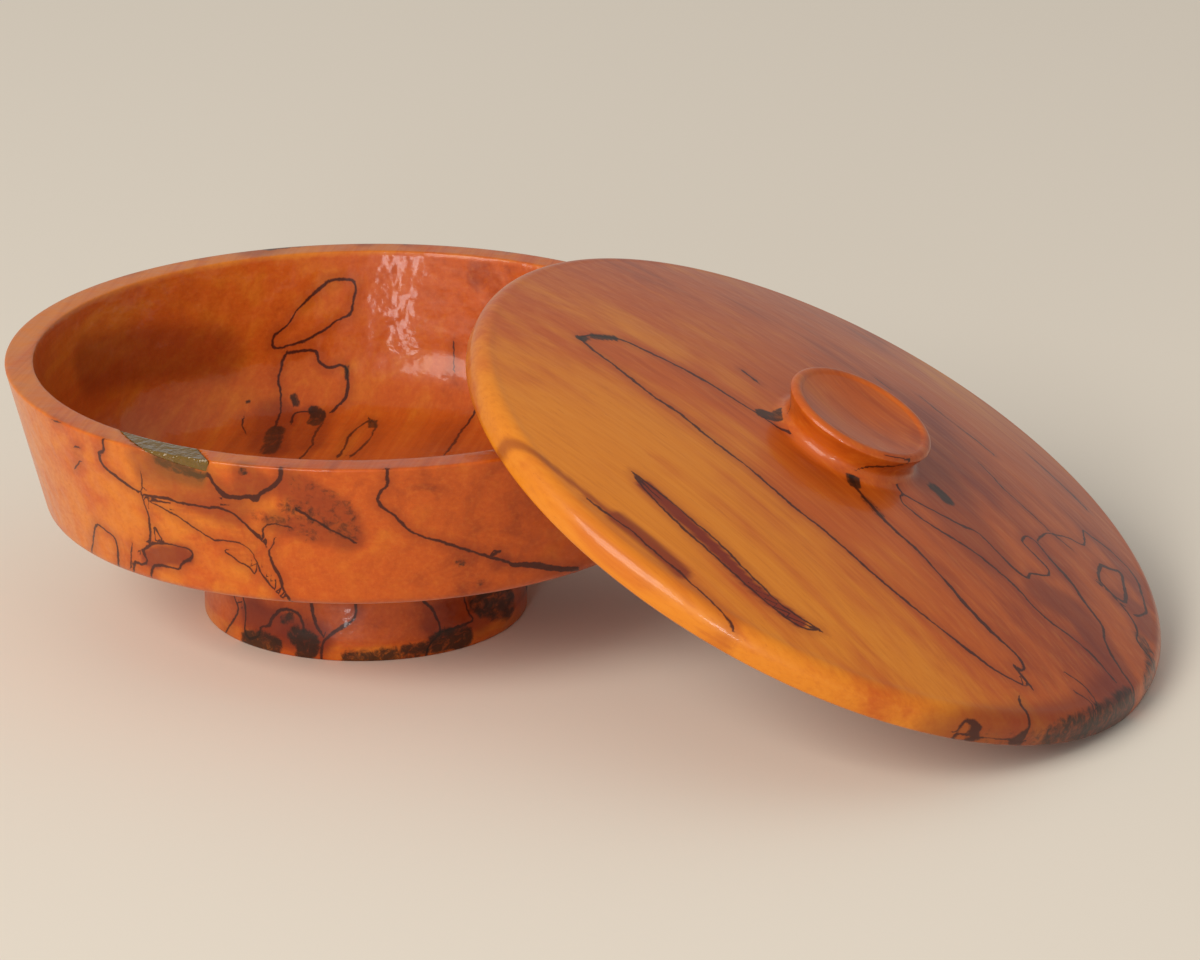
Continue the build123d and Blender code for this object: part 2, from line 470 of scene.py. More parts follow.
KNOB_LINES = [
    (1.1, [(-72, 27), (-66, 29), (-60, 31.5), (-52, 33.5), (-43, 35), (-34, 36.5), (-28, 38.2), (-36, 39.4),
           (-50, 39.4)]),
    (1.0, [(-150, 27), (-153, 31), (-158, 35)]),
]
WALL_LINES = [
    (0.95, [(-112, 94.6), (-112.6, 90), (-113.8, 88.8), (-113.9, 85.4), (-113.2, 83.1), (-110, 80.3),
            (-106.2, 77), (-101.2, 77.4), (-97.6, 76.7), (-93.5, 76.7), (-91.5, 77.3), (-88.8, 75.2),
            (-86.8, 70.7), (-84.7, 66.2), (-83.8, 62.2), (-83.5, 57.7), (-82.4, 52.1), (-82.1, 48.7),
            (-81.2, 43.5), (-80.6, 40.5)]),
    (0.5, [(-82.6, 66.8), (-83.5, 63.4)]),
    (0.4, [(-84.4, 67.5), (-84.4, 70.7), (-83.8, 72.4), (-82.4, 73), (-80, 72.2)]),
    (0.6, [(-106.2, 77), (-105.9, 72.4), (-105.6, 67.9), (-105.9, 62.2), (-106.6, 57.7)]),
    (0.4, [(-106.2, 77), (-105.4, 81.4), (-105.3, 85)]),
    (0.5, [(-104.7, 74.7), (-101.2, 72.4), (-98.2, 69.6), (-95.3, 66.2), (-92.9, 64.3), (-89.1, 64.5),
           (-87.1, 62.2), (-86.2, 57.7), (-85.6, 53.2), (-84.1, 48.7), (-82.4, 44.1)]),
    (0.6, [(-91.5, 60), (-89.4, 57.1), (-87.9, 55.5), (-86.8, 53)]),
    (0.4, [(-104.7, 64.5), (-103.5, 58.8)]),
    (1.5, [(-95.5, 91.8), (-93.5, 91.2), (-92.4, 89.4), (-91.8, 86.5), (-90.3, 82.6), (-88.2, 82),
           (-86.2, 83.1), (-85, 82), (-84.1, 84.8), (-81.8, 88.2), (-80.6, 91.6), (-80.6, 94.6)]),
    (0.7, [(-124.4, 44), (-122.4, 50.3), (-120.6, 56), (-119.4, 57.7), (-116.8, 56.2), (-115.4, 54.9),
           (-115.3, 50.9), (-115.9, 47), (-116.6, 43)]),
    (0.5, [(-111.2, 54.3), (-112.1, 49.8), (-112.9, 45)]),
    (0.8, [(-112.4, 44), (-111.2, 48.1), (-109.7, 47.5), (-108.2, 49.8), (-108.8, 53.2), (-107.1, 56),
           (-105, 58.3), (-101.2, 59.1), (-98.2, 58.3), (-98.5, 54.9), (-100, 53.2), (-101.5, 49.8),
           (-104.1, 49.8), (-106.8, 48.7), (-108.2, 44)]),
    (0.6, [(-109.5, 53), (-107.5, 55.5)]),
    (0.85, [(-64.4, 94.6), (-64.4, 88.8), (-65.6, 86), (-65.7, 82), (-63.2, 76.9), (-60.3, 70.1),
            (-55.6, 65.6), (-50.3, 60.5), (-46.2, 56.6), (-42.1, 52.8)]),
    (1.9, [(-42.1, 52.4), (-38, 50.4), (-34, 47.4), (-28.5, 44.1)]),
    (0.7, [(-78.4, 79), (-75.3, 74.7), (-72.4, 70.7), (-69.7, 67.3)]),
    (0.5, [(-125, 94), (-123, 94.5)]),
    (0.7, [(-120, 87.2), (-119, 87.8)]),
    (0.6, [(-121.8, 78), (-119.8, 81.5)]),
    (0.5, [(-45.9, 59.1), (-45, 58.6)]),
]
WALL_DARK = [
    (1.3, 1.0, [(-86.7, 92.7), (-86.6, 92.7)], 0.8),
    (1.9, 0.9, [(-101, 93.5), (-97, 92.5), (-94, 91)], 2.2),
    (2.6, 0.5, [(-80, 80), (-75, 76), (-70, 71)], 3.5),
    (2.2, 0.45, [(-78, 89), (-74, 85), (-70, 79)], 3.5),
    (1.6, 0.5, [(-85, 76), (-80, 73), (-76, 69)], 2.5),
    (1.0, 0.7, [(-52.2, 56.6), (-51.6, 56.4)], 1.0),
    (1.0, 0.7, [(-48.2, 48), (-47.2, 48.2)], 1.0),
]
WALL_STAIN = [
    (3.2, 0.8, [(-107.5, 50.5), (-104, 54), (-99.8, 56)], 1.5),
    (4.5, 0.55, [(-79, 88), (-75, 82), (-72, 76), (-71, 70)], 4.5),
    (3.0, 0.5, [(-82, 74), (-78, 72), (-74, 70)], 3.5),
    (6.0, 0.5, [(-103, 90), (-97, 84), (-90, 79)], 6.0),
    (2.5, 0.6, [(-86.5, 92), (-84, 88), (-87, 86)], 4.0),
]
INSIDE_LINES = [
    (0.8, [(118.5, 10.5), (114, 10.5), (113.2, 13.6), (113.7, 18.8), (114.4, 23.5), (116.4, 25.1),
           (120.6, 29.8), (123.8, 32.4), (128, 34), (130.1, 33.7), (129.6, 29.3), (126.9, 26.1),
           (124.8, 20.9), (121.6, 15.7), (119, 12), (118.5, 10.5)]),
    (0.8, [(139, 77), (134.4, 67), (131.2, 58.5), (130.1, 51), (129.9, 46), (128.8, 41), (127.8, 37),
           (125.9, 36.3), (121.6, 36.4), (121.1, 40.3), (119, 43), (115.8, 42.7), (115.3, 49),
           (115.8, 54.4), (117.4, 58.5), (119.5, 62.7)]),
    (0.7, [(130.6, 68), (129, 62.7), (126.9, 61.2), (124.4, 62)]),
    (0.9, [(122.9, 71), (125.9, 79.5), (129, 87.8), (130.6, 93), (134.4, 98), (138, 102), (143, 106)]),
    (0.9, [(110.5, 68.5), (108.7, 75.3), (109.2, 82.6), (110, 90), (112.1, 97.2), (115.3, 104.6),
           (118.5, 109)]),
    (0.8, [(111, 71), (114.2, 79.5), (117.4, 88.9), (119, 96.2), (121.6, 103.5), (124.8, 109)]),
    (0.8, [(85.6, 58), (85.3, 66), (84.6, 74), (83, 81.5), (80.4, 91), (77.7, 101)]),
    (0.5, [(93.6, 33.5), (93.1, 42.9)]),
    (0.4, [(141, 60), (142.5, 64), (144, 70)]),
]
INSIDE_DARK = [
    (2.0, 1.0, [(135.5, 72), (139, 79), (142.5, 86), (147, 91.5)], 3.2),
    (2.4, 1.0, [(123.4, 61.5), (123.2, 65), (124.8, 70)], 1.3),
    (1.2, 1.0, [(127.5, 53.5), (127.4, 56.5)], 1.0),
    (1.5, 1.0, [(109.6, 71), (109.4, 77)], 1.0),
    (0.9, 0.9, [(138, 52.8), (137.8, 53)], 0.8),
    (0.8, 0.9, [(115.6, 42.8), (115.2, 48)], 0.7),
]
INSIDE_STAIN = [
    (5.0, 0.6, [(133, 62), (138, 75), (145, 90)], 7.0),
    (4.0, 0.45, [(124, 66), (128, 80), (132, 92)], 6.0),
    (6.0, 0.5, [(176, 22), (160, 26), (142, 33)], 9.0),
]
FOOT_LINES = [
    (0.6, [(-124, 15.5), (-120, 12), (-121.5, 7.8), (-125, 3.5), (-127.5, 0.7)]),
    (0.83, [(-119.5, 18), (-116.5, 13.4), (-115.5, 9.2), (-115.5, 4.9), (-114, 2.8), (-111, 3.5), (-108.5, 5),
           (-108, 8), (-105, 9.4)]),
    (0.83, [(-104, 9.2), (-103.5, 12), (-101, 15.2), (-97, 16.6), (-93, 15.5), (-91, 12.7), (-90.5, 9.9)]),
    (0.9, [(-88.5, 22), (-87.5, 17), (-86, 12.7), (-84, 10)]),
    (0.98, [(-71.5, 22), (-72, 16.2), (-76, 12.7), (-80, 9.9), (-83, 7), (-84, 3.5), (-84, 0.6)]),
    (0.75, [(-47, 20), (-43.5, 16.2), (-42, 12), (-41.5, 8.5), (-43, 6.4), (-46, 4.2), (-47, 0.6)]),
    (0.68, [(-30, 18), (-29, 12), (-27.5, 9.2), (-35, 8.5), (-41, 8.2)]),
]
FOOT_DARK = [
    (1.6, 0.9, [(-74, 1.5), (-62, 2), (-50, 3), (-40, 5)], 3.0),
    (2.6, 1.0, [(-114, 2), (-108, 3.5), (-102, 3)], 2.5),
    (2.6, 1.0, [(-93, 8), (-88, 6), (-90, 1)], 2.5),
    (1.4, 0.9, [(-98.5, 13), (-96, 14)], 1.2),
    # Painted shade: the next two patches darken the right of the foot, which turns away from the key light.
    (3.0, 0.9, [(-43, 4), (-38, 5), (-32, 4)], 3.0),
    (5.0, 0.9, [(-22, 16), (-15, 12), (-8, 10)], 4.0),
]
FOOT_STAIN = [
    (4.0, 0.8, [(-112, 12), (-100, 9), (-86, 8)], 5.0),
    (4.0, 0.6, [(-42, 12), (-34, 14), (-24, 10)], 5.0),
]


# Distance from each vertex to the figure

def near_stroke(points, pairs, chart, reach):
    """The stroke's curve on the chart, and the vertices inside its bounding box grown by reach."""
    pairs = np.array(pairs, float)
    curve = chart(smooth_line(pairs) if len(pairs) > 2 else pairs)
    low = curve.min(0) - reach
    high = curve.max(0) + reach
    return curve, np.flatnonzero(np.all((points >= low) & (points <= high), axis=1))


def curve_distance(points, normals, curve):
    """Distance to the nearest span of the curve, without a sign and with one.

    The sign says on which side of the span the point lies, seen along the normal.
    """
    best = np.full(len(points), 1e9)
    signed = np.full(len(points), 1e9)
    for start, end in zip(curve[:-1], curve[1:]):
        span = end - start
        size = span @ span
        if size < 1e-9:
            continue
        share = np.clip((points - start) @ span / size, 0, 1)
        away = points - start - share[:, None] * span
        distance = np.sqrt((away * away).sum(1))
        nearer = distance < best
        side = np.sign((np.cross(span, normals[nearer]) * away[nearer]).sum(1))
        best[nearer] = distance[nearer]
        signed[nearer] = distance[nearer] * np.where(side == 0, 1, side)
    return best, signed


class Figure:
    """Per-vertex record of the zone lines, black ink, with painted shade on the right of the foot, and
    red-brown stain on one turned piece.
    """

    def __init__(self, points, normals):
        self.points = points
        self.normals = normals
        self.far = np.full(len(points), far_away)
        self.side = np.full(len(points), far_away)
        self.half = np.full(len(points), plain_half)
        self.ink_and_painted_shade = np.zeros(len(points))
        self.stain = np.zeros(len(points))

    def lines(self, strokes, chart, where):
        """Keep the signed distance and half width of the line whose own edge is nearest."""
        for half, pairs in strokes:
            curve, close = near_stroke(self.points, pairs, chart, line_reach)
            close = close[where[close]]
            distance, signed = curve_distance(self.points[close], self.normals[close], curve)
            nearer = distance - half < self.far[close] - self.half[close]
            chosen = close[nearer]
            self.far[chosen] = np.minimum(distance[nearer], far_away)
            self.side[chosen] = np.clip(signed[nearer], -far_away, far_away)
            self.half[chosen] = half

    def patches(self, strokes, chart, where, field):
        """Add soft strokes: full strength inside the half width, falling smoothly to nothing past it."""
        for half, strength, pairs, soft in strokes:
            curve, close = near_stroke(self.points, pairs, chart, half + soft)
            close = close[where[close]]
            distance, _ = curve_distance(self.points[close], self.normals[close], curve)
            share = np.clip(1 - (distance - half) / soft, 0, 1)
            share = share * share * (3 - 2 * share) * strength
            field[close] = np.maximum(field[close], share)

    def store(self, piece):
        """Put the record on the piece, for its material to read."""
        keep_number(piece, "zone_side", self.side)
        keep_number(piece, "zone_far", self.far)
        keep_number(piece, "zone_half", self.half)
        keep_number(piece, "ink_and_painted_shade", self.ink_and_painted_shade)
        keep_number(piece, "stain", self.stain)


# Pieces

def degrees_round(points):
    """Angle round the upright axis in degrees, from -180 to 180."""
    return np.degrees(np.arctan2(points[:, 1], points[:, 0]))


def void_drop(radius, turn):
    """Depth of the void under the rim's plane.

    A share runs from 0 to 1 between the void's slanting ends. The depth is the share to the power 0.7
    times the full depth, and over the last part it closes steeply.
    """
    across = np.clip((radius - mouth_radius) / rim_width, 0, 1)
    start = void_inner_start + (void_outer_start - void_inner_start) * across
    end = void_inner_end + (void_outer_end - void_inner_end) * across
    share = (turn - start) / (end - start)
    steep = np.clip((1 - share) / void_end_share, 0, 1)
    return void_depth * np.clip(share, 0, 1) ** 0.7 * steep


def carve_void(points):
    """Lower the rim by the void's depth; the drop fades out down the wall and follows its slant."""
    radius = np.hypot(points[:, 0], points[:, 1])
    near_rim = np.clip((points[:, 2] - (bowl_height - void_blend)) / void_blend, 0, 1)
    drop = void_drop(radius, degrees_round(points)) * near_rim
    scale = (radius - drop * wall_slope) / np.maximum(radius, 1e-6)
    return np.stack([points[:, 0] * scale, points[:, 1] * scale, points[:, 2] - drop], -1), drop


def laid_again(strokes, shift, turn_scale):
    """The strokes on another part of their round chart: degrees become shift + turn_scale * degrees."""
    copies = []
    for stroke in strokes:
        at = 1 if len(stroke) == 2 else 2
        pairs = [(shift + turn_scale * a, b) for a, b in stroke[at]]
        copies.append(stroke[:at] + (pairs,) + stroke[at + 1:])
    return copies


def along_grain(points, turn):
    """Points turned about their own upright axis so that x runs along the grain."""
    turn = math.radians(turn)
    x = points[:, 0] * math.cos(turn) + points[:, 1] * math.sin(turn)
    y = points[:, 1] * math.cos(turn) - points[:, 0] * math.sin(turn)
    return np.stack([x, y, points[:, 2]], -1)


def make_bowl():
    """The bowl's half section revolved, its void carved, and the figure laid on its wall, inside and foot.

    Each chart's strokes are laid twice: as listed, and again on the side that the photograph doesn't show.
    """
    points, normals, (quads, fans) = revolve(bowl_profile())
    carved, drop = carve_void(points)
    piece = mesh_object("bowl_wood", carved, quads, fans)
    height = points[:, 2]
    radius = np.hypot(points[:, 0], points[:, 1])
    # Faces that look up: the inside, and the side of the foot, which takes the inside's redder tone too; that
    # added redness is painted shade.
    facing_up = (normals[:, 2] > 0.05) & (height < bowl_height - 0.9)
    wall = ~facing_up & (height > corner_height - 4)
    foot = (height < foot_height + 1) & (radius > foot_radius - 6) & (height > 0.05)
    figure = Figure(points, normals)
    for lines, dark, stain, chart, where, shift, turn_scale in (
        (WALL_LINES, WALL_DARK, WALL_STAIN, wall_chart, wall, 12, -1.15),
        (INSIDE_LINES, INSIDE_DARK, INSIDE_STAIN, inside_chart, facing_up, -190, 1.0),
        (FOOT_LINES, FOOT_DARK, FOOT_STAIN, foot_chart, foot, 10, -1.1),
    ):
        figure.lines(lines, chart, where)
        figure.lines(laid_again(lines, shift, turn_scale), chart, where)
        for strokes, field in ((dark, figure.ink_and_painted_shade), (stain, figure.stain)):
            figure.patches(strokes, chart, where, field)
            figure.patches(laid_again(strokes, shift, turn_scale), chart, where, field)
    figure.store(piece)
    keep_number(piece, "void", np.clip(drop, 0, 1))
    # Redder to the right, where x grows, and inside: partly the wood's own tone, partly painted shade on the
    # side away from the key light and in the hollow.
    redness_with_painted_shading = 0.32 + points[:, 0] / 480 + np.where(facing_up, 0.26, 0)
    keep_number(piece, "redness_and_painted_shading", np.clip(redness_with_painted_shading, 0, 1))
    keep_vector(piece, "wood", along_grain(points, bowl_grain))
    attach(piece, "bowl")
    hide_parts("bowl")
    return piece


def make_lid():
    """The lid's half section revolved and leant, with one figure that shows on the dome and in the hollow.

    The distances to the strokes are taken on the smooth caps that the dome and the hollow lie on.
    """
    points, normals, (quads, fans) = revolve(lid_profile())
    piece = mesh_object("lid_wood", points @ lid_axes + lid_centre, quads, fans)
    height = points[:, 2]
    radius = np.hypot(points[:, 0], points[:, 1])
    knob = (radius < knob_lip_radius + 0.1) & (height > dome_rise + 0.8)
    below = (normals[:, 2] < -0.02) & ~knob
    dome = ~below & ~knob
    flat = points.copy()
    flat[dome, 2] = cap_height(np.minimum(radius[dome], dome_edge[0]), dome_rise, *dome_edge)
    flat[below, 2] = cap_height(np.minimum(radius[below], hollow_radius), hollow_top, hollow_radius, lip_drop)
    figure = Figure(flat, normals)
    figure.lines(LID_LINES, dome_chart, dome)
    figure.lines(KNOB_LINES, knob_chart, knob)
    figure.lines(LID_LINES, hollow_chart, below)
    for strokes, field in ((LID_DARK, figure.ink_and_painted_shade), (LID_STAIN, figure.stain)):
        figure.patches(strokes, dome_chart, dome, field)
        figure.patches(strokes, hollow_chart, below, field)
    figure.store(piece)
    keep_number(piece, "void", np.zeros(len(points)))
    # Golden towards the near edge, redder to the right, and a little less red again at the far edge: partly
    # the wood's own tone, partly painted light on the near side and painted shade on the right.
    across = points[:, 1]
    golden_and_painted_light = np.clip((-across - 20) / 70, 0, 1)
    redness_with_painted_shading = 0.56 + points[:, 0] / 1200 - 0.55 * golden_and_painted_light - 0.25 * np.clip((across - 85) / 30, 0, 1)
    keep_number(piece, "redness_and_painted_shading", np.clip(redness_with_painted_shading, 0, 1))
    keep_vector(piece, "wood", along_grain(points, lid_grain))
    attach(piece, "lid")
    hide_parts("lid")
    return piece


def make_resin():
    """Resin in the void: a closed section at each angle, from the carved floor up to the rim's plane."""
    rows = resin_rows
    across = np.linspace(0.0, 1.0, resin_columns)
    share = np.linspace(resin_end_share, 1 - resin_end_share, rows)[:, None]
    start = void_inner_start + (void_outer_start - void_inner_start) * across
    end = void_inner_end + (void_outer_end - void_inner_end) * across
    turn = start + (end - start) * share
    at_rim = np.broadcast_to(mouth_radius + rim_width * across, turn.shape)
    drop = void_drop(at_rim, turn) + resin_sink
    low = on_ring((at_rim - drop * wall_slope).ravel(), turn.ravel(), (bowl_height - drop).ravel())
    edge = np.minimum(across, 1 - across) * rim_width
    ease = edge_ease * np.clip(1 - edge / edge_ease, 0, 1)
    top_height = np.broadcast_to(bowl_height - ease, turn.shape)
    top = on_ring((at_rim - ease * wall_slope).ravel(), turn.ravel(), top_height.ravel())
    shape = (rows, resin_columns, 3)
    section = np.concatenate([low.reshape(shape), top.reshape(shape)[:, ::-1]], 1)
    wide = section.shape[1]
    here = np.arange(wide)
    ahead = (here + 1) % wide
    base = (np.arange(rows - 1) * wide)[:, None]
    above = base + wide
    quads = np.stack([base + here, above + here, above + ahead, base + ahead], -1).reshape(-1, 4)
    points = np.vstack([section.reshape(-1, 3), section[0].mean(0), section[-1].mean(0)])
    last = (rows - 1) * wide
    fans = np.vstack([
        np.stack([here, ahead, np.full(wide, rows * wide)], -1),
        np.stack([last + ahead, last + here, np.full(wide, rows * wide + 1)], -1),
    ])
    if volume_of(points, quads, fans) < 0:
        quads = quads[:, ::-1]
        fans = fans[:, ::-1]
    piece = mesh_object("rim_resin", points, quads, fans)
    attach(piece, "bowl")
    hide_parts("rim_resin_fill")
    return piece


def volume_of(points, quads, fans):
    """Signed volume: the sum over triangles of corner dot (edge cross edge) over six."""
    tris = np.vstack([quads[:, [0, 1, 2]], quads[:, [0, 2, 3]], fans])
    a, b, c = (points[tris[:, k]] for k in range(3))
    return (a * np.cross(b, c)).sum() / 6


# Materials

def linear(code):
    """sRGB hex to a linear colour with full alpha."""
    parts = [int(code[k:k + 2], 16) / 255 for k in (1, 3, 5)]
    return [p / 12.92 if p <= 0.04045 else ((p + 0.055) / 1.055) ** 2.4 for p in parts] + [1.0]


def add(tree, kind, inputs, output=0, **settings):
    """Add a node with its settings and give back one of its outputs, by number or name, if it has any.

    An input is linked where its value is another node's output, and set where it is a number or hex colour.
    """
    node = tree.nodes.new("ShaderNode" + kind)
    for name, value in settings.items():
        setattr(node, name, value)
    for name, value in inputs.items():
        if isinstance(value, bpy.types.NodeSocket):
            tree.links.new(value, node.inputs[name])
        else:
            node.inputs[name].default_value = linear(value) if isinstance(value, str) else value
    return node.outputs[output] if node.outputs else None


def new_material(name):
    """An empty material and its node tree."""
    material = bpy.data.materials.new(name)
    material.use_nodes = True
    material.node_tree.nodes.clear()
    return material, material.node_tree


def laid_over(tree, colour, layers):
    """Lay paints over the colour in turn, each (value, start, full, strength, paint, blend).

    A paint is absent where its value is at start, has its strength at full, and takes a smooth step between.
    """
    for value, start, full, strength, paint, blend in layers:
        share = add(tree, "MapRange", {
            "Value": value, "From Min": start, "From Max": full, "To Max": strength,
        }, interpolation_type="SMOOTHSTEP")
        colour = add(tree, "Mix", {0: share, 6: colour, 7: paint}, 2, data_type="RGBA", blend_type=blend)
    return colour


# Patterns along the grain: length and width in mm, then detail, roughness and distortion of the noise.
# Real fibres and pores are finer than a pixel of the render, so theirs are as wide as they need to show.
grain_patterns = {
    "fibre": (45, 1.5, 3, 0.6, 0.0),
    "streak": (140, 9, 3, 0.55, 0.5),
    "cloud": (70, 38, 3, 0.5, 0.4),
    "pore": (9, 0.7, 2, 0.6, 0.0),
    "mottle": (7, 2.6, 4, 0.7, 0.5),
}
# Patterns without a direction: size in mm, then detail and roughness of the noise.
even_patterns = {
    "wander": (3.125, 3, 0.6),
    "swell": (11.1111, 2, 0.5),
    "ripple": (7.6923, 2, 0.4),
}
# Spacing in mm of the marks that the gouge left round the axis, and of the waves in the resin's skin.
turning_mark_size = 1.8182
resin_ripple_size = 3.125


def wood_patterns(tree, wood):
    """Noises of the wood by name, on coordinates in mm whose first axis runs along the grain."""
    noises = {}
    for name, (length, width, detail, rough, warp) in grain_patterns.items():
        stretched = add(tree, "VectorMath", {0: wood, 1: (1 / length, 1 / width, 1 / width)},
                        operation="MULTIPLY")
        noises[name] = add(tree, "TexNoise", {
            "Vector": stretched, "Scale": 1, "Detail": detail, "Roughness": rough, "Distortion": warp,
        }, "Fac")
    for name, (size, detail, rough) in even_patterns.items():
        noises[name] = add(tree, "TexNoise", {
            "Vector": wood, "Scale": 1 / size, "Detail": detail, "Roughness": rough,
        }, "Fac")
    return noises


def wood_ground(tree, noises, tones):
    """Golden to deep red-brown by place, which carries painted light and shade, then by cloud and streak,
    then fibres and pores, then red-brown stain.
    """
    light, middle, deep, glow, clouding = tones
    redness_and_painted_shading = add(tree, "Attribute", {}, "Fac", attribute_name="redness_and_painted_shading")
    swing = add(tree, "Math", {0: noises["cloud"], 1: 0.5}, operation="SUBTRACT")
    depth = add(tree, "Math", {0: swing, 1: clouding, 2: redness_and_painted_shading}, operation="MULTIPLY_ADD")
    swing = add(tree, "Math", {0: noises["streak"], 1: 0.5}, operation="SUBTRACT")
    depth = add(tree, "Math", {0: swing, 1: 0.8, 2: depth}, operation="MULTIPLY_ADD")
    colour = laid_over(tree, light, (
        (depth, 0.0, 0.5, 1.0, middle, "MIX"),
        (depth, 0.45, 1.0, 1.0, deep, "MIX"),
        (noises["fibre"], 0.45, 0.75, 0.16, "#B4743C", "MULTIPLY"),
        (noises["fibre"], 0.5, 0.3, 0.10, glow, "MIX"),
        (noises["pore"], 0.62, 0.78, 0.22, deep, "MIX"),
    ))
    stain = add(tree, "Attribute", {}, "Fac", attribute_name="stain")
    patchy = add(tree, "Math", {0: noises["cloud"], 1: 0.5, 2: 0.75}, operation="MULTIPLY_ADD")
    stained = add(tree, "Math", {0: stain, 1: patchy}, operation="MULTIPLY", use_clamp=True)
    return add(tree, "Mix", {0: stained, 6: colour, 7: "#6E1E08"}, 2, data_type="RGBA")


def zone_lines(tree, noises, colour, deep):
    """Near-black lines with a dark halo, where the distance past a line's swelling edge is small.

    The signed distance to the line wanders a little before it is taken, so no edge is ruler-straight.
    """
    side = add(tree, "Attribute", {}, "Fac", attribute_name="zone_side")
    far = add(tree, "Attribute", {}, "Fac", attribute_name="zone_far")
    half = add(tree, "Attribute", {}, "Fac", attribute_name="zone_half")
    swing = add(tree, "Math", {0: noises["wander"], 1: 0.5}, operation="SUBTRACT")
    side = add(tree, "Math", {0: swing, 1: 1.6, 2: side}, operation="MULTIPLY_ADD")
    beside = add(tree, "Math", {0: side}, operation="ABSOLUTE")
    beyond = add(tree, "Math", {0: far, 1: 1.1}, operation="SUBTRACT")
    reach = add(tree, "Math", {0: beside, 1: beyond}, operation="MAXIMUM")
    swell = add(tree, "Math", {0: noises["swell"], 1: 1.2, 2: -0.12}, operation="MULTIPLY_ADD")
    edge = add(tree, "Math", {0: half, 1: swell}, operation="MULTIPLY")
    past = add(tree, "Math", {0: reach, 1: edge}, operation="SUBTRACT")
    return laid_over(tree, colour, (
        (past, 4.5, 0.0, 0.35, deep, "MIX"),
        (past, 0.34, -0.16, 0.93, "#380E05", "MIX"),
    ))


def ink_painted_shade_and_void(tree, noises, colour):
    """Black patches broken up by a fine mottle, which are spalt ink and, on the right of the foot, painted
    shade, and a browner floor in the void.
    """
    given = add(tree, "Attribute", {}, "Fac", attribute_name="ink_and_painted_shade")
    swing = add(tree, "Math", {0: noises["mottle"], 1: 0.5}, operation="SUBTRACT")
    blotch = add(tree, "Math", {0: swing, 1: 1.7, 2: given}, operation="MULTIPLY_ADD")
    held = add(tree, "MapRange", {
        "Value": given, "From Min": 0.0, "From Max": 0.15, "To Max": 0.9,
    }, interpolation_type="SMOOTHSTEP")
    colour = laid_over(tree, colour, ((blotch, 0.3, 1.0, held, "#1C120A", "MIX"),))
    void = add(tree, "Attribute", {}, "Fac", attribute_name="void")
    browner = add(tree, "Math", {0: void, 1: 0.5}, operation="MULTIPLY")
    return add(tree, "Mix", {0: browner, 6: colour, 7: "#6B4516"}, 2, data_type="RGBA")


def wood_relief(tree, wood, noises, ripples):
    """Bump of turning marks, which follow the distance from the axis and the height, ripples and fibres."""
    split = add(tree, "SeparateXYZ", {0: wood}).node.outputs
    flat = add(tree, "CombineXYZ", {0: split[0], 1: split[1]})
    radius = add(tree, "VectorMath", {0: flat}, "Value", operation="LENGTH")
    rings = add(tree, "CombineXYZ", {0: radius, 1: split[2]})
    marks = add(tree, "TexNoise", {"Vector": rings, "Scale": 1 / turning_mark_size, "Detail": 2}, "Fac")
    waves = add(tree, "Math", {0: noises["ripple"], 1: ripples}, operation="MULTIPLY")
    relief = add(tree, "Math", {0: marks, 1: 0.10, 2: waves}, operation="MULTIPLY_ADD")
    relief = add(tree, "Math", {0: noises["fibre"], 1: 0.10, 2: relief}, operation="MULTIPLY_ADD")
    return add(tree, "Bump", {"Strength": 1.0, "Distance": 0.0003, "Height": relief})


def spalted_wood(name, tones, ripples):
    """Spalted wood, turned and oiled: warm bands and black zone lines under a thin clear shine.

    Tones are the light, middle, deep and glowing colours and how far the clouds swing them. Ripples is
    the height of the slow waves that turning left, against that of the turning marks.
    """
    material, tree = new_material(name)
    wood = add(tree, "Attribute", {}, "Vector", attribute_name="wood")
    noises = wood_patterns(tree, wood)
    colour = wood_ground(tree, noises, tones)
    colour = zone_lines(tree, noises, colour, tones[2])
    colour = ink_painted_shade_and_void(tree, noises, colour)
    bump = wood_relief(tree, wood, noises, ripples)
    rough = add(tree, "Math", {0: noises["fibre"], 1: 0.12, 2: 0.34}, operation="MULTIPLY_ADD")
    surface = add(tree, "BsdfPrincipled", {
        "Base Color": colour, "Roughness": rough, "Normal": bump, "Coat Normal": bump, "IOR": 1.45,
        "Specular IOR Level": 0.3, "Coat Weight": 0.4, "Coat Roughness": 0.09, "Coat IOR": 1.4,
    })
    add(tree, "OutputMaterial", {"Surface": surface})
    return material


def clear_resin():
    """Cast resin that is clear but for an olive-brown cast, with a rippled skin that catches glints."""
    material, tree = new_material("clear cast resin")
    place = add(tree, "TexCoord", {}, "Object")
    rate = 1 / (resin_ripple_size * MM)
    ripple = add(tree, "TexNoise", {"Vector": place, "Scale": rate, "Detail": 2}, "Fac")
    bump = add(tree, "Bump", {"Strength": 1.0, "Distance": 0.0012, "Height": ripple})
    surface = add(tree, "BsdfPrincipled", {
        "Base Color": "#86682A", "Roughness": 0.03, "IOR": 1.45, "Transmission Weight": 0.45, "Normal": bump,
    })
    add(tree, "OutputMaterial", {"Surface": surface})
    return material


def backdrop_paper():
    """Uncoated backdrop paper: a warm pale sheet that takes the shadow and gives no shine."""
    material, tree = new_material("pale matt backdrop paper")
    surface = add(tree, "BsdfPrincipled", {
        "Base Color": "#E6DFD4", "Roughness": 1.0, "Specular IOR Level": 0.0,
    })
    add(tree, "OutputMaterial", {"Surface": surface})
    return material


bowl = make_bowl()
bowl.data.materials.append(
    spalted_wood("oiled spalted wood, bowl", ("#CC721A", "#BC5210", "#7E2A08", "#D98A3A", 0.8), 2.0))
lid = make_lid()
lid.data.materials.append(
    spalted_wood("oiled spalted wood, lid", ("#D07A16", "#B8540E", "#882E08", "#DE9A3C", 1.2), 0.5))
resin = make_resin()
resin.data.materials.append(clear_resin())


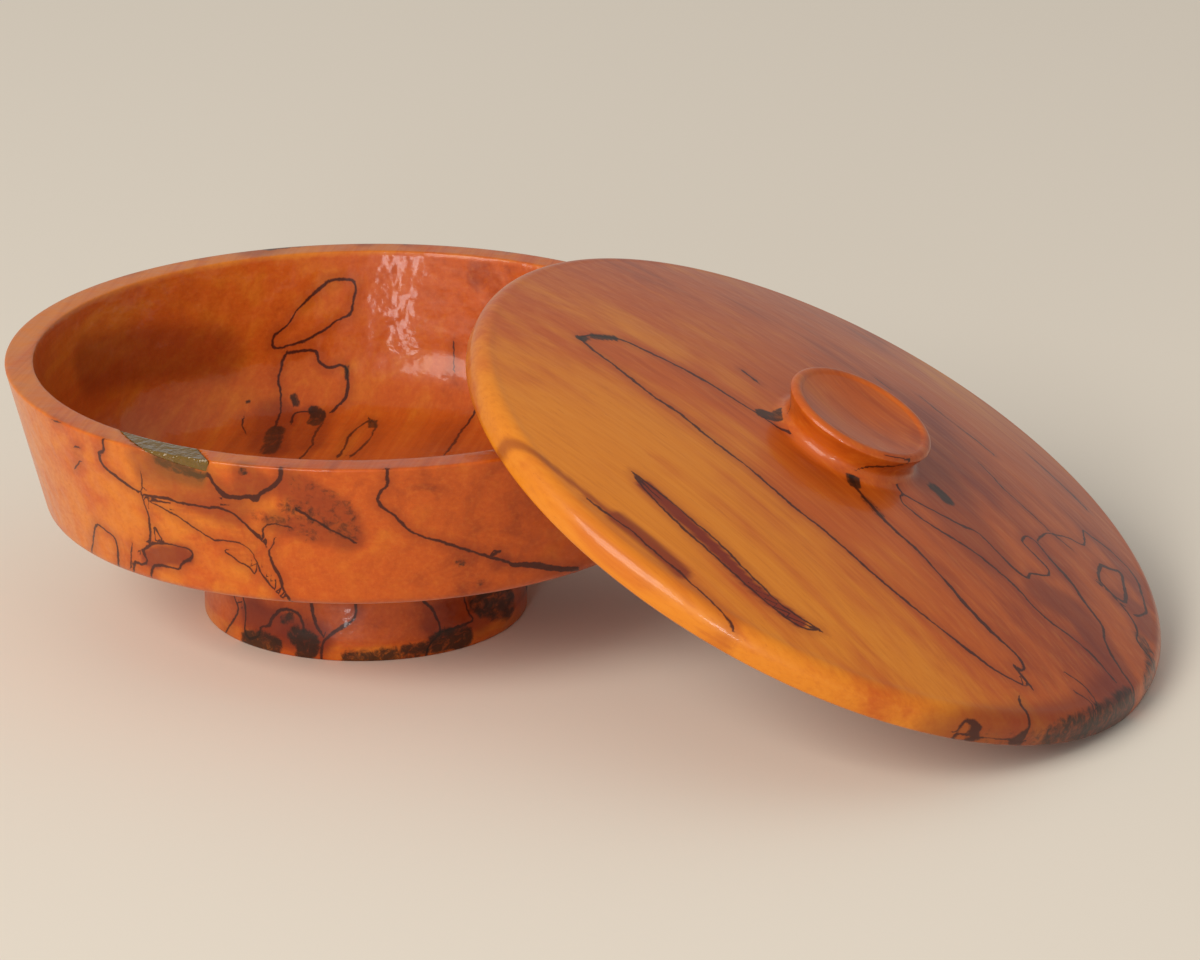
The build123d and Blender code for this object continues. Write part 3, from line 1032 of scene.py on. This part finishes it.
# Stage, light and camera, in metres

floor_half = 6
lamp_target = mathutils.Vector((0.06, 0.0, 0.05))
camera_place = (0.6524, -1.6051, 0.6737)
camera_heading = math.radians(19.36)
camera_dip = math.radians(19.93)


def make_floor():
    """Square sheet of backdrop paper round the origin, in the plane of the table."""
    mesh = bpy.data.meshes.new("floor")
    corners = [(x * floor_half, y * floor_half, 0) for x, y in ((-1, -1), (1, -1), (1, 1), (-1, 1))]
    mesh.from_pydata(corners, [], [(0, 1, 2, 3)])
    mesh.materials.append(backdrop_paper())
    floor = bpy.data.objects.new("floor", mesh)
    bpy.context.scene.collection.objects.link(floor)


def softbox(name, turn, lift, away, width, height, watts, colour):
    """Rectangular soft light, turned round the scene and lifted over the table by degrees, on the target."""
    lamp = bpy.data.lights.new(name, "AREA")
    lamp.shape = "RECTANGLE"
    lamp.size = width
    lamp.size_y = height
    lamp.energy = watts
    lamp.color = linear(colour)[:3]
    thing = bpy.data.objects.new(name, lamp)
    bpy.context.scene.collection.objects.link(thing)
    turn = math.radians(turn)
    lift = math.radians(lift)
    flat = math.cos(lift)
    outward = mathutils.Vector((flat * math.cos(turn), flat * math.sin(turn), math.sin(lift)))
    thing.location = lamp_target + outward * away
    thing.rotation_euler = (-outward).to_track_quat("-Z", "Y").to_euler()


def make_world():
    """Even pale light from all round, and a plain pale backdrop where the camera looks past the floor."""
    world = bpy.data.worlds.new("soft studio")
    bpy.context.scene.world = world
    world.use_nodes = True
    tree = world.node_tree
    tree.nodes.clear()
    seen = add(tree, "LightPath", {}, "Is Camera Ray")
    fill = add(tree, "Background", {"Color": "#F4F1EC", "Strength": 0.52})
    backdrop = add(tree, "Background", {"Color": "#ECE6DC", "Strength": 0.8})
    pick = add(tree, "MixShader", {0: seen, 1: fill, 2: backdrop})
    add(tree, "OutputWorld", {"Surface": pick})


def make_camera():
    """The photograph's viewing angle: heading round the table and dip below level."""
    lens = bpy.data.cameras.new("camera")
    lens.sensor_width = 36.0
    lens.lens = 156.0
    camera = bpy.data.objects.new("camera", lens)
    camera.location = camera_place
    camera.rotation_euler = (math.pi / 2 - camera_dip, 0, camera_heading)
    bpy.context.scene.collection.objects.link(camera)
    bpy.context.scene.camera = camera


make_floor()
softbox("key softbox", -110, 33, 4.2, 2.6, 2.0, 140, "#FFF6EA")
softbox("strip softbox", -83, 9, 3.4, 0.4, 0.95, 20, "#FFFFFF")
make_world()
make_camera()
bpy.context.scene.view_settings.view_transform = "Standard"

bpy.context.view_layer.update()
